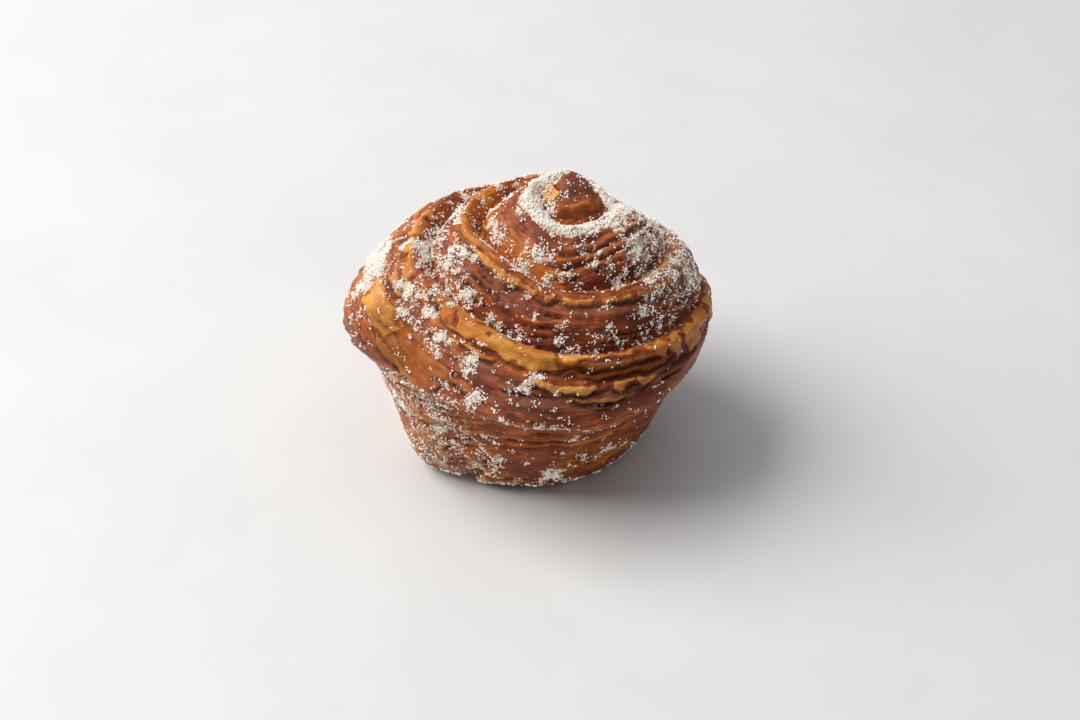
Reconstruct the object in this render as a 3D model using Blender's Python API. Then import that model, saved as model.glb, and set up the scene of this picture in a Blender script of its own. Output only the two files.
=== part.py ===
"""Morning bun: a strip of laminated dough rolled up, stood on end in a muffin cup and baked.

The bun is one solid. Its outer form is a turned shape that leans and bulges by direction: a flat
foot, the tapered wall that the cup gave it, a lip that rose over the cup's rim, and a dome. The
dome's grooves follow one spiral that winds outwards, anticlockwise seen from above, from the knob
at the top. The edges of the dough's layers lie along that spiral as ridges. Directions are angles
in degrees from +X towards +Y, so the front, -Y, is at 270. Everything else is in metres.
"""

import itertools
import math

import bmesh
import bpy
import numpy as np

# A size that changes round the bun is given for its right, back, left and front sides.
# A bulge is given as its direction, its spread in degrees and how far it stands out.
# The cup's print: foot, wall and rim.
FOOT_RADIUS = (0.0284, 0.0284, 0.0308, 0.0288)
FOOT_FILLET = 0.0042
FOOT_BULGE = (218, 16, 0.0045)
RIM_RADIUS = (0.0377, 0.0383, 0.0399, 0.0373)
RIM_HEIGHT = (0.0263, 0.0289, 0.0319, 0.0290)
RIM_BULGES = ((204, 13, 0.0012), (243, 18, -0.0024), (299, 21, 0.0007))

# The lip that hangs over the rim, with a beak at the left and a flat beside it.
LIP_RADIUS = (0.0438, 0.0434, 0.0433, 0.0425)
LIP_HEIGHT = (0.0370, 0.0350, 0.0336, 0.0347)
BEAK = (184, 16, 0.0050)
FLAT = (225, 23, -0.0063)
STRAIGHT_UNDER_BEAK = (193, 26, 0.98)

# The dome and the knob, which the rising coil pushed off centre.
KNOB_X = 0.0115
KNOB_Y = 0.0087
KNOB_HEIGHT = 0.0636
KNOB_SHIFT = (-0.0024, 0.0016, 0.0016)
KNOB_SHIFT_REACH = (0.15, 0.40)
KNOB_SWELL = 0.0035
KNOB_SHARE = 0.155
KNOB_FOLD_OUT = (0.0035, 0.0085)
KNOB_FOLD_DEPTH = 0.0012
KNOB_FOLD_LIPS = (0.0032, 0.0011)
KNOB_EYE = (0.0003, 0.0040)
DOME_FULLNESS = (3.07, 2.15, 2.65, 1.67)
DOME_SHOULDER = (0.85, 0.735, 0.55, 0.90)
SADDLE = (37, 17, 0.0059)
SADDLE_SHARE = 0.45
SADDLE_WIDTH = 0.25

# Where the spiral groove lies, as a share of the way along the crust from the knob to the lip,
# at each quarter turn: right, back, left, front and so on outwards. Then how deep it is there.
GROOVE_SHARES = (0.00, 0.05, 0.105, 0.17, 0.22, 0.31, 0.35, 0.46, 0.60, 0.57, 0.49, 0.72, 0.90, 1.15)
GROOVE_DEPTHS = (0.0, 0.0018, 0.0036, 0.0040, 0.0030, 0.0036, 0.0050, 0.0046, 0.0032, 0.0036, 0.0040,
                 0.0036, 0.0015, 0.0)
COILS = 4
THIRD_GROOVE_BEND = (214, 22, 0.09)
COIL_EDGE = 0.0032
COIL_WALL = 0.0125
GROOVE_BOTTOM = 0.0008

# The dough's layers, whose edges stand out along the coil and round the wall.
LAYER_STEP = 0.0034
LAYER_RELIEF = 0.0009
LAYER_WANDER = 0.9
LAYERED_SHARES = (0.05, 0.95)
WALL_LAYER_RELIEF = 0.0005
UNEVENNESS = 0.0007
UNEVENNESS_SIZE = 0.014
BLISTER = (197, 24, 0.0011)
BLISTER_SIZE = 0.0065
BIG_BLISTER = (198, 6, 0.0018)
BIG_BLISTER_SHARE = 0.83
BIG_BLISTER_WIDTH = 0.055
CRACK = (206, 3, -0.0013)
CRACK_SHARE = 0.885
CRACK_WIDTH = 0.030

# Flaky bands along the upper edges of the second and third coils. At the front right a hollow and
# a lower tier of flakes lie below the third coil's band, and a split lies under the lip.
BAND_WIDTH = 0.0040
BAND_HEIGHT = 0.0009
SECOND_BAND_TURNS = (1.45, 1.95)
THIRD_BAND_TURNS = (2.45, 3.05)
TIER_HOLLOW = (294, 26, -0.0016)
TIER_HOLLOW_OUT = 0.0050
TIER_RIDGE = (280, 17, 0.0008)
TIER_RIDGE_OUT = 0.0088
TIER_WIDTH = 0.0018
TIER_RAGGEDNESS = 0.0010
SPLIT = (306, 9, -0.0024)
SPLIT_SHARE = 1.01
SPLIT_LIPS = (0.0055, 0.0020)

# The hem under the beak: a ridge just inside the lip's edge, and a line just below it.
HEM = (203, 27, 0.0007)
HEM_WIDTH = 0.0016
HEM_RIDGE = 0.0020
HEM_LINE = -0.0022

# The outer end of the dough strip: a crease that climbs from a notch in the foot.
CREASE_ANGLE = 232
CREASE_SWING = 17
CREASE_HEIGHT = 0.0250
CREASE_DEPTH = 0.0020
CREASE_LEDGE = 2.5
CREASE_HOLLOWS = ((0.3, 4), (0.7, 18))
NOTCH_DEPTH = 0.0040
NOTCH_HEIGHT = 0.0035
NOTCH_SPREAD = 4

# The end of the roll under the bun shows the spiral again, as a shallow groove in the flat foot.
UNDER_PITCH = 0.0065
UNDER_DEPTH = 0.0007
UNDER_WIDTH = 0.0011
UNDER_START = 0.0040
UNDER_END = (0.0195, 0.0222)

COLUMNS = 480
ROWS_BOTTOM = 40
ROWS_WALL = 64
ROWS_LIP = 24
ROWS_DOME = 150
TRIANGLES = 11400
FLAT_WITHIN = 0.00025
NOISE_CELLS = 24

CRUST_COLOR = (0.30, 0.105, 0.045, 1.0)
CRUST_ROUGHNESS = 0.45


def radians(degrees):
    return degrees * math.pi / 180


def bump(angle, centre, spread):
    """A smooth swelling of height 1 round one direction; its centre and spread are in degrees."""
    return np.exp((np.cos(angle - radians(centre)) - 1) / radians(spread) ** 2)


def hill(distance, width):
    return np.exp(-(distance / width) ** 2)


def ramp(value, low, high):
    """0 below low and 1 above high, with a smooth climb between them."""
    t = np.clip((value - low) / (high - low), 0, 1)
    return t * t * (3 - 2 * t)


def by_side(angle, values):
    """A smooth change through the values for the right, back, left and front sides."""
    right, back, left, front = values
    mean = (right + back + left + front) / 4
    return (mean + (right - left) / 2 * np.cos(angle) + (back - front) / 2 * np.sin(angle)
            + (right - back + left - front) / 4 * np.cos(2 * angle))


def noise(x, y, z, seed):
    """Smooth random values from -1 to 1 that change over a distance of about 1."""
    table = np.random.default_rng(seed).uniform(-1, 1, (NOISE_CELLS,) * 3)
    place = np.stack(np.broadcast_arrays(x, y, z), axis=-1)
    cell = np.floor(place).astype(int)
    t = place - cell
    t = t * t * (3 - 2 * t)
    total = np.zeros(place.shape[:-1])
    for corner in itertools.product((0, 1), repeat=3):
        weight = np.prod(np.where(corner, t, 1 - t), axis=-1)
        i, j, k = ((cell[..., n] + corner[n]) % NOISE_CELLS for n in range(3))
        total += weight * table[i, j, k]
    return total


def noise_at(points, size, seed):
    """Smooth random values from -1 to 1 whose patches have this size."""
    x, y, z = (points[..., n] / size for n in range(3))
    return noise(x, y, z, seed)


def bulge(angle, form):
    direction, spread, height = form
    return height * bump(angle, direction, spread)


def foot_radius(angle):
    return by_side(angle, FOOT_RADIUS) + bulge(angle, FOOT_BULGE)


def rim_radius(angle):
    return by_side(angle, RIM_RADIUS) + sum(bulge(angle, form) for form in RIM_BULGES)


def lip_radius(angle):
    return by_side(angle, LIP_RADIUS) + bulge(angle, BEAK) + bulge(angle, FLAT)


def crease(angle, height):
    """How far the wall sinks beside the strip's end, which hangs over the hollow as a ledge."""
    climb = np.clip(height / CREASE_HEIGHT, 0, 1)
    centre = radians(CREASE_ANGLE + CREASE_SWING * np.sin(math.pi * climb))
    past = np.mod(angle - centre + math.pi, 2 * math.pi) - math.pi
    ledge = hill(past, radians(CREASE_LEDGE))
    hollow = sum(share * hill(past, radians(spread)) for share, spread in CREASE_HOLLOWS)
    notch = hill(past, radians(NOTCH_SPREAD)) * np.exp(-height / NOTCH_HEIGHT)
    return CREASE_DEPTH * (1 - climb ** 3) * np.where(past > 0, ledge, hollow) + NOTCH_DEPTH * notch


def envelope(angle, way):
    """Points of the smooth outer form. way runs 0-1 over the bottom, 1-2 up the wall, 2-3 round
    the lip and 3-4 over the dome to the knob."""
    foot, rim, lip = foot_radius(angle), rim_radius(angle), lip_radius(angle)
    rim_z, lip_z = by_side(angle, RIM_HEIGHT), by_side(angle, LIP_HEIGHT)
    bottom = np.clip(way, 0, 1)
    wall = np.clip(way - 1, 0, 1)
    turn = np.clip(way - 2, 0, 1)
    straight = bulge(angle, STRAIGHT_UNDER_BEAK)
    lip_out = straight * turn + (1 - straight) * np.sin(turn * math.pi / 2)
    lip_up = straight * turn + (1 - straight) * (1 - np.cos(turn * math.pi / 2))
    out = np.clip(4 - way, 0, 1)

    z_wall = rim_z * wall
    fillet = FOOT_FILLET * np.exp(-z_wall / (0.6 * FOOT_FILLET))
    r_wall = foot + (rim - foot) * wall - fillet - crease(angle, z_wall)
    radius = np.where(way < 1, (foot - FOOT_FILLET - crease(angle, 0 * way)) * bottom, r_wall)
    radius = np.where(way > 2, rim + (lip - rim) * lip_out, radius)
    height = np.where(way < 1, 0.0, z_wall)
    height = np.where(way > 2, rim_z + (lip_z - rim_z) * lip_up, height)

    dome = (1 - out ** by_side(angle, DOME_FULLNESS)) ** by_side(angle, DOME_SHOULDER)
    round_radius = LIP_RADIUS[0] + (lip - LIP_RADIUS[0]) * out ** 2
    radius = np.where(way > 3, round_radius * out, radius)
    height = np.where(way > 3, lip_z + (KNOB_HEIGHT - lip_z) * dome, height)
    lean = np.where(way > 3, 1 - out, 0.0)
    smooth = np.stack([KNOB_X * lean + radius * np.cos(angle),
                       KNOB_Y * lean + radius * np.sin(angle), height], axis=-1)
    on_knob = 1 - ramp(out, *KNOB_SHIFT_REACH)
    return smooth + on_knob[..., None] * np.array(KNOB_SHIFT)


def even_ways(first, last, count):
    """Values of way from first to last that lie evenly along the form's mean outline."""
    fine = np.linspace(first, last, 2000)
    angles = np.linspace(0, 2 * math.pi, 24, endpoint=False)
    points = envelope(angles[None, :], fine[:, None])
    lengths = np.linalg.norm(np.diff(points, axis=0), axis=-1).mean(axis=1)
    along = np.concatenate([[0], np.cumsum(lengths)])
    return np.interp(np.linspace(0, along[-1], count + 1), along, fine)


def rows():
    parts = [even_ways(0, 1, ROWS_BOTTOM), even_ways(1, 2, ROWS_WALL)[1:],
             even_ways(2, 3, ROWS_LIP)[1:], even_ways(3, 4, ROWS_DOME)[1:]]
    return np.concatenate(parts)


def normals_of(points):
    """Outward normals of a grid of points, rows by columns, that closes along its columns."""
    around = np.roll(points, -1, axis=1) - np.roll(points, 1, axis=1)
    up = np.gradient(points, axis=0)
    normal = np.cross(around, up)
    normal[0] = (0, 0, -1)
    normal[-1] = (0, 0, 1)
    return normal / np.maximum(np.linalg.norm(normal, axis=-1, keepdims=True), 1e-12)


def quarter_turn_curve(values, turns):
    """A smooth curve through values given at each quarter turn, read at these numbers of turns."""
    at = np.clip(turns * 4, 0, len(values) - 1.001)
    low = at.astype(int)
    t = at - low
    table = np.array([values[0], *values, values[-1]])
    p0, p1, p2, p3 = (table[low + n] for n in range(4))
    return 0.5 * (2 * p1 + (p2 - p0) * t + (2 * p0 - 5 * p1 + 4 * p2 - p3) * t ** 2
                  + (3 * p1 - p0 - 3 * p2 + p3) * t ** 3)


def pillow(distance, reach):
    """1 in a groove and 0 from reach on, along the quarter round of a swollen edge."""
    x = np.clip(np.hypot(distance, GROOVE_BOTTOM) / reach, 0, 1)
    lowest = 1 - math.sqrt(1 - (1 - GROOVE_BOTTOM / reach) ** 2)
    return (1 - np.sqrt(1 - (1 - x) ** 2)) / lowest


def groove_share(turn, coil):
    """Where the groove of this coil lies, as a share of the way from the knob to the lip."""
    share = quarter_turn_curve(GROOVE_SHARES, turn + coil)
    return share + bulge(2 * math.pi * turn, THIRD_GROOVE_BEND) if coil == 2 else share


def coil_relief(angle, along, total):
    """How far the spiral groove sinks below the dome, from the distance along the crust."""
    turn = angle / (2 * math.pi)
    sunk = np.zeros_like(along)
    for coil in range(COILS):
        centre = groove_share(turn, coil) * total
        depth = quarter_turn_curve(GROOVE_DEPTHS, turn + coil)
        away = along - centre
        sunk += depth * np.where(away > 0, pillow(away, COIL_EDGE), pillow(away, COIL_WALL))
    return -sunk * ramp(along, *KNOB_EYE)


def strip_place(angle, along, total):
    """The strip's own directions at each point: the turns from the knob, how far out from the
    coil's inner edge, and the share of the way from there to its outer edge."""
    turn = angle / (2 * math.pi) + np.zeros_like(along)
    winding = turn - 1
    across = along.copy()
    width = quarter_turn_curve(GROOVE_SHARES, turn) * total
    for coil in range(COILS):
        centre = groove_share(turn, coil) * total
        after = groove_share(turn, coil + 1) * total
        outside = along > centre
        winding = np.where(outside, turn + coil, winding)
        across = np.where(outside, along - centre, across)
        width = np.where(outside, after - centre, width)
    return winding, across, np.clip(across / np.maximum(width, 1e-4), 0, 1)


def layer_edges(level):
    """Ridges at each whole number of level: a slow climb to each layer's edge, then a drop."""
    t = level - np.floor(level)
    return np.where(t < 0.8, t / 0.8, (1 - t) / 0.2) - 0.5


def between(value, ends, fade):
    """1 between the two ends and 0 beyond them, with a smooth change as long as fade."""
    first, last = ends
    half = fade / 2
    return ramp(value, first - half, first + half) * (1 - ramp(value, last - half, last + half))


def knob_relief(angle, along, total):
    """The swollen end of the roll at the top, with one fold that winds out over it."""
    swell = KNOB_SWELL * np.sqrt(np.clip(1 - (along / total / KNOB_SHARE) ** 2, 0, 1))
    turn = np.mod(angle / (2 * math.pi) + 0.5, 1)
    first, last = KNOB_FOLD_OUT
    inner, outer = KNOB_FOLD_LIPS
    past = along - first - (last - first) * turn
    fold = np.where(past > 0, pillow(past, outer), pillow(past, inner))
    return swell - KNOB_FOLD_DEPTH * fold * ramp(turn, 0.0, 0.3) * (1 - ramp(turn, 0.8, 1.0))


def dome_relief(angle, along, total):
    """Layers, bands, knob, tiers, split and saddle that lie along the coil."""
    winding, across, share = strip_place(angle, along, total)
    level = across / LAYER_STEP + LAYER_WANDER * noise(winding * 9, across / 0.012, 0.0, 11)
    patches = (0.55 + 0.45 * noise(winding * 14, across / 0.004, 3.0, 12)) * ramp(winding, 0.2, 0.8)
    patches = patches * ramp(share, 0.10, 0.45)
    relief = LAYER_RELIEF * patches * between(share, LAYERED_SHARES, 0.08) * layer_edges(level)
    second = 0.7 * between(winding, SECOND_BAND_TURNS, 0.1) * hill(across - BAND_WIDTH / 3, BAND_WIDTH / 3)
    third = between(winding, THIRD_BAND_TURNS, 0.1) * hill(across - BAND_WIDTH / 2, BAND_WIDTH / 2)
    relief += BAND_HEIGHT * (second + third)
    relief += knob_relief(angle, along, total)
    on_third = ramp(winding, 2.4, 2.5)
    ragged = across + TIER_RAGGEDNESS * noise(winding * 60, 0.0, 0.0, 14)
    relief += on_third * bulge(angle, TIER_HOLLOW) * hill(ragged - TIER_HOLLOW_OUT, TIER_WIDTH)
    relief += on_third * bulge(angle, TIER_RIDGE) * hill(ragged - TIER_RIDGE_OUT, TIER_WIDTH)
    split = along - (SPLIT_SHARE + 0.01 * noise(winding * 25, 0.0, 0.0, 13)) * total
    above, below = SPLIT_LIPS
    relief += bulge(angle, SPLIT) * np.where(split > 0, pillow(split, below), pillow(split, above))
    return relief - bulge(angle, SADDLE) * hill(along / total - SADDLE_SHARE, SADDLE_WIDTH)


def wall_relief(angle, points, below):
    """Layers that run round the wall, and the hem under the beak."""
    x, y, z = points[..., 0], points[..., 1], points[..., 2]
    level = z / (1.2 * LAYER_STEP) + LAYER_WANDER * noise(x / 0.020, y / 0.020, z / 0.008, 21)
    patches = 0.5 + 0.5 * noise(x / 0.012, y / 0.012, z / 0.004, 22)
    relief = WALL_LAYER_RELIEF * patches * -layer_edges(level)
    hem = hill(below - HEM_RIDGE, HEM_WIDTH) - hill(below - HEM_LINE, HEM_WIDTH)
    return relief + bulge(angle, HEM) * hem


def blisters(angle, points, share):
    """Round swellings where the crust of the left lobe lifted, and the crack below the largest."""
    swelling = np.clip(noise_at(points, BLISTER_SIZE, 31) - 0.1, 0, None) ** 0.7
    small = bulge(angle, BLISTER) * ramp(share, 0.62, 0.75) * (1 - ramp(share, 0.95, 1.0)) * swelling
    big = bulge(angle, BIG_BLISTER) * hill(share - BIG_BLISTER_SHARE, BIG_BLISTER_WIDTH)
    return small + big + bulge(angle, CRACK) * hill(share - CRACK_SHARE, CRACK_WIDTH)


def under_relief(angle, radius):
    """The shallow spiral in the flat foot, and none at the foot's middle or its edge."""
    turns = (radius - UNDER_START) / UNDER_PITCH + angle / (2 * math.pi)
    away = (turns - np.round(turns)) * UNDER_PITCH
    inside = ramp(radius, UNDER_START, 1.5 * UNDER_START) * (1 - ramp(radius, *UNDER_END))
    return -UNDER_DEPTH * hill(away, UNDER_WIDTH) * inside


def bun_points():
    """The bun's surface as a grid of points, rows from the bottom's centre to the knob."""
    ways = rows()[:, None]
    angle = np.linspace(0, 2 * math.pi, COLUMNS, endpoint=False)[None, :]
    points = envelope(angle, ways)
    normal = normals_of(points)
    steps = np.linalg.norm(np.diff(points[::-1], axis=0), axis=-1)
    along = np.concatenate([np.zeros((1, COLUMNS)), np.cumsum(steps, axis=0)])[::-1]
    total = along[ROWS_BOTTOM + ROWS_WALL + ROWS_LIP][None, :]
    on_dome = ramp(ways, 2.5, 3.0)
    on_wall = ramp(ways, 1.08, 1.25) * (1 - ramp(ways, 2.9, 3.1))
    relief = on_dome * (coil_relief(angle, along, total) + dome_relief(angle, along, total))
    relief += on_wall * wall_relief(angle, points, along - total)
    relief += on_dome * blisters(angle, points, along / total)
    relief += UNEVENNESS * ramp(ways, 1.08, 1.4) * noise_at(points, UNEVENNESS_SIZE, 41)
    radius = np.hypot(points[..., 0], points[..., 1])
    relief += np.where(ways < 1, under_relief(angle, radius), 0)
    return points + normal * relief[..., None]


def grid_mesh(name, points):
    """A closed mesh over a grid of points whose first and last rows are each one point."""
    column_count = points.shape[1]
    form = bmesh.new()
    first = form.verts.new(points[0].mean(axis=0))
    loops = [[form.verts.new(p) for p in row] for row in points[1:-1]]
    last = form.verts.new(points[-1].mean(axis=0))
    for n in range(column_count):
        after = (n + 1) % column_count
        form.faces.new((first, loops[0][after], loops[0][n]))
        for low, high in zip(loops, loops[1:]):
            form.faces.new((low[n], low[after], high[after], high[n]))
        form.faces.new((last, loops[-1][n], loops[-1][after]))
    mesh = bpy.data.meshes.new(name)
    form.to_mesh(mesh)
    form.free()
    return mesh


def thinned(mesh):
    """A copy of the mesh with few enough triangles for a solid."""
    fine = bpy.data.objects.new("fine_form", mesh)
    bpy.context.scene.collection.objects.link(fine)
    fewer = fine.modifiers.new("fewer_triangles", "DECIMATE")
    fewer.ratio = TRIANGLES / (2 * len(mesh.polygons))
    fewer.use_collapse_triangulate = True
    graph = bpy.context.evaluated_depsgraph_get()
    thin = bpy.data.meshes.new_from_object(fine.evaluated_get(graph))
    bpy.data.objects.remove(fine)
    bpy.data.meshes.remove(mesh)
    return thin


def settle(mesh):
    """Centres the mesh over the origin, and presses its foot flat onto the plane z = 0."""
    places = np.array([vertex.co for vertex in mesh.vertices])
    middle = (places.min(axis=0) + places.max(axis=0)) / 2
    for vertex in mesh.vertices:
        x, y, z = vertex.co
        vertex.co = (x - middle[0], y - middle[1], 0.0 if z < FLAT_WITHIN else z)


def crust_material():
    material = bpy.data.materials.new("baked_crust")
    material.use_nodes = True
    shader = material.node_tree.nodes["Principled BSDF"]
    shader.inputs["Base Color"].default_value = CRUST_COLOR
    shader.inputs["Roughness"].default_value = CRUST_ROUGHNESS
    shader.inputs["Metallic"].default_value = 0.0
    return material


def main():
    for old in list(bpy.data.objects):
        bpy.data.objects.remove(old)
    collection = bpy.data.collections.new("morning_bun")
    bpy.context.scene.collection.children.link(collection)
    mesh = thinned(grid_mesh("bun_form", bun_points()))
    settle(mesh)
    mesh.name = "bun"
    mesh.materials.append(crust_material())
    mesh.shade_smooth()
    bun = bpy.data.objects.new("bun", mesh)
    collection.objects.link(bun)


main()
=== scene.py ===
import itertools
import math

import bpy
import numpy as np
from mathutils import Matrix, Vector


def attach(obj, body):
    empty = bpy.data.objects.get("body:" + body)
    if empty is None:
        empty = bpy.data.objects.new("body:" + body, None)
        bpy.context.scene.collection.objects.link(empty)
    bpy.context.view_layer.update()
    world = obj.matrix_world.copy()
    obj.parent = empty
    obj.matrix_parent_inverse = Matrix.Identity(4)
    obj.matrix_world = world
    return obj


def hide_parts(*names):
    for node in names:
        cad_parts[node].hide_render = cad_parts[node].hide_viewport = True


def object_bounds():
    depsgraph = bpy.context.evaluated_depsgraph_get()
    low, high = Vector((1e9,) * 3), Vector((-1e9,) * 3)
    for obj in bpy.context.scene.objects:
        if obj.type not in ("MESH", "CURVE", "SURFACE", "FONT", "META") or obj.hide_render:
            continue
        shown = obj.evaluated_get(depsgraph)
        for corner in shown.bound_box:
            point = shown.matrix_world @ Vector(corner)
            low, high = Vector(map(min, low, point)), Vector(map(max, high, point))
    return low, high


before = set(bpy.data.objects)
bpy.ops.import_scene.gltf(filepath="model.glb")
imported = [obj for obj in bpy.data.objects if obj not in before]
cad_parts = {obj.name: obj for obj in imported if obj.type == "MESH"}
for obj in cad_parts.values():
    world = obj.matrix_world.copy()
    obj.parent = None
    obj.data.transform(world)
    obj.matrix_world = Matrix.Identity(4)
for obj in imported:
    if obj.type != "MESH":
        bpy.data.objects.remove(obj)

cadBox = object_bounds()
print("Loaded the frame")

# Lengths are in metres. Directions are degrees from +X towards +Y, and the front is at 270.
# A size that changes round the bun is given for its right, back, left and front sides, and a
# bulge by its direction, its spread in degrees and its height.
bunForm = {
    "footRadius": (0.0284, 0.0284, 0.0308, 0.0288),
    "footFillet": 0.0042,
    "footBulge": (218, 16, 0.0045),
    "rimRadius": (0.0377, 0.0383, 0.0399, 0.0373),
    "rimHeight": (0.0263, 0.0289, 0.0319, 0.0290),
    "rimBulges": ((204, 13, 0.0012), (243, 18, -0.0024), (299, 21, 0.0007)),
    "lipRadius": (0.0438, 0.0434, 0.0433, 0.0425),
    "lipHeight": (0.0370, 0.0350, 0.0336, 0.0347),
    "beak": (184, 16, 0.0050),
    "flat": (225, 23, -0.0063),
    "straightUnderBeak": (193, 26, 0.98),
    "knob": (0.0115, 0.0087, 0.0636),
    "knobShift": (-0.0024, 0.0016, 0.0016),
    "knobShiftReach": (0.15, 0.40),
    "domeFullness": (3.07, 2.15, 2.65, 1.67),
    "domeShoulder": (0.85, 0.735, 0.55, 0.90),
    "creaseAngle": 232,
    "creaseSwing": 17,
    "creaseHeight": 0.0250,
    "creaseDepth": 0.0020,
    "creaseLedge": 2.5,
    "creaseHollows": ((0.3, 4), (0.7, 18)),
    "notchDepth": 0.0040,
    "notchHeight": 0.0035,
    "notchSpread": 4,
    "columns": 500,
    "rows": (9, 56, 17, 116),      # over the bottom, up the wall, round the lip and over the dome
}

# The spiral groove, as shares of the way from the knob to the lip at each quarter turn, its
# depth there, and the layers, bands and folds that lie along the coil.
coilForm = {
    "shares": (0.00, 0.05, 0.105, 0.17, 0.22, 0.31, 0.35, 0.46, 0.60, 0.57, 0.49, 0.72, 0.90, 1.15),
    "depths": (0.0, 0.0018, 0.0036, 0.0040, 0.0030, 0.0036, 0.0050, 0.0046, 0.0032, 0.0036, 0.0040,
               0.0036, 0.0015, 0.0),
    "coils": 4,
    "thirdBend": (214, 22, 0.09),
    "edge": 0.0032,
    "wall": 0.0125,
    "bottom": 0.0008,
    "grooveMask": (0.0006, 0.0022),  # shift and width
    "layerStep": 0.0034,
    "layerRelief": 0.0009,
    "layerWander": 0.9,
    "layerTurns": (0.2, 0.8),
    "layerRise": (0.10, 0.45),
    "layeredShares": (0.05, 0.95, 0.08),
    "patchStrength": (0.55, 0.45),
    "wallStepRatio": 1.2,
    "wallLayerRelief": 0.0005,
    "unevenness": 0.0007,
    "blister": (197, 24, 0.0011),
    "blisterShape": (0.1, 0.7),  # the noise below which there is none, and its power
    "blisterRise": (0.62, 0.75),
    "blisterFall": (1.0, 0.95),
    "bigBlister": (198, 6, 0.0018),
    "bigBlisterPlace": (0.83, 0.055),  # share of the way to the lip, and width
    "crack": (206, 3, -0.0013),
    "crackPlace": (0.885, 0.030),
    "bandWidth": 0.0040,
    "bandHeight": 0.0009,
    "secondBandTurns": (1.45, 1.95, 0.1),
    "secondBandHeight": 0.7,
    "thirdBandTurns": (2.45, 3.05, 0.1),
    "tierTurns": (2.4, 2.5),
    "tiers": (((294, 26, -0.0016), 0.0050), ((280, 17, 0.0008), 0.0088)),  # bulge, distance out
    "tierWidth": 0.0018,
    "tierRaggedness": 0.0010,
    "split": (306, 9, -0.0024),
    "splitShare": 1.01,
    "splitWander": 0.01,
    "splitLips": (0.0055, 0.0020),
    "saddle": (37, 17, 0.0059),
    "saddlePlace": (0.45, 0.25),
    "hem": (203, 27, 0.0007),
    "hemWidth": 0.0016,
    "hemRidge": 0.0020,
    "hemLine": -0.0022,
    "underPitch": 0.0065,
    "underDepth": 0.0007,
    "underWidth": 0.0011,
    "underStart": (0.0040, 0.0060),
    "underEnd": (0.0195, 0.0222),
}

# The swollen end of the roll at the top, with one fold that winds out over it.
knobForm = {
    "swell": 0.0035,
    "share": 0.155,
    "foldOut": (0.0035, 0.0085),
    "foldDepth": 0.0012,
    "foldLips": (0.0032, 0.0011),
    "eye": (0.0003, 0.0040),
}

# The random fields, which end with their seed. Those of the coil start with the waves to a turn, their
# width and a slice, those of the wall and the strip with a run and a thickness, and the rest with a size.
# The ragged and the pimples have a finer size too, and its share.
fields = {
    "layers": (9, 0.012, 0.0, 11), "layerPatches": (14, 0.004, 3.0, 12),
    "split": (25, 1.0, 0.0, 13), "tiers": (60, 1.0, 0.0, 14), "wall": (0.020, 0.008, 21),
    "wallPatches": (0.012, 0.004, 22), "blisters": (0.0065, 31), "unevenness": (0.014, 41),
    "ragged": (0.0030, 0.0016, 0.4, 61), "holes": (0.0020, 66), "sheets": (0.014, 0.0055, 63),
    "fineSheets": (0.0040, 64), "tone": (0.013, 0.050, 65), "parting": (0.009, 0.050, 67),
    "fineParting": (0.0025, 68), "pits": (0.0016, 71), "pitAreas": (0.010, 72),
    "pimples": (0.0022, 0.0012, 0.6, 73), "scorchAndSheen": (0.012, 0.004, 81),
    "scorchBands": (0.022, 0.0045, 83), "patchEdges": (0.0020, 98),
}
noiseCells = 24

# The ways run 0-1 over the bottom, 1-2 up the wall, 2-3 round the lip and 3-4 over the dome. A pair is
# where a kind of relief fades in or, with the larger first, out, and a single way is where one starts.
wayForm = {
    "dome": (2.5, 3.0),
    "wall": (1.08, 1.25),
    "wallEnd": (3.1, 2.9),
    "unevenness": (1.08, 1.4),
    "side": (1.03, 1.12),
    "coil": 2.35,
    "lipLine": (2.40, 0.14),  # place and width
    "dust": 1,
    "sugar": 1.04,
}


def radians(degrees):
    return degrees * math.pi / 180


def bump(angle, centre, spread):
    return np.exp((np.cos(angle - radians(centre)) - 1) / radians(spread) ** 2)


def bulge(angle, form):
    direction, spread, height = form
    return height * bump(angle, direction, spread)


def hill(distance, width):
    return np.exp(-(distance / width) ** 2)


def ramp(value, low, high):
    t = np.clip((value - low) / (high - low), 0, 1)
    return t * t * (3 - 2 * t)


def between(value, first, last, fade):
    half = fade / 2
    return ramp(value, first - half, first + half) * (1 - ramp(value, last - half, last + half))


def limited(value, limits):
    # two limits are a rise, or a fall where the first is the larger, and three a band with its fade
    if len(limits) == 3:
        return between(value, *limits)
    return ramp(value, *limits) if limits[0] < limits[1] else 1 - ramp(value, *limits[::-1])


def varied(values, mean, spread):
    return mean + spread * values


def bySide(angle, values):
    right, back, left, front = values
    mean = (right + back + left + front) / 4
    return (mean + (right - left) / 2 * np.cos(angle) + (back - front) / 2 * np.sin(angle)
            + (right - back + left - front) / 4 * np.cos(2 * angle))


def noise(x, y, z, seed):
    table = np.random.default_rng(seed).uniform(-1, 1, (noiseCells,) * 3)
    place = np.stack(np.broadcast_arrays(x, y, z), axis=-1)
    cell = np.floor(place).astype(int)
    t = place - cell
    t = t * t * (3 - 2 * t)
    total = np.zeros(place.shape[:-1])
    for corner in itertools.product((0, 1), repeat=3):
        weight = np.prod(np.where(corner, t, 1 - t), axis=-1)
        i, j, k = ((cell[..., n] + corner[n]) % noiseCells for n in range(3))
        total += weight * table[i, j, k]
    return total


def coilNoise(name, winding, across=0.0):
    waves, width, z, seed = fields[name]
    return noise(winding * waves, across / width, z, seed)


def wallNoise(points, run, step, seed, shift=0.0):
    x, y, z = (points[..., n] for n in range(3))
    return noise(x / run + 5.3 * shift, y / run, z / step + 1.7 * shift, seed)


def noiseAt(points, size, seed):
    return wallNoise(points, size, size, seed)


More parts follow.
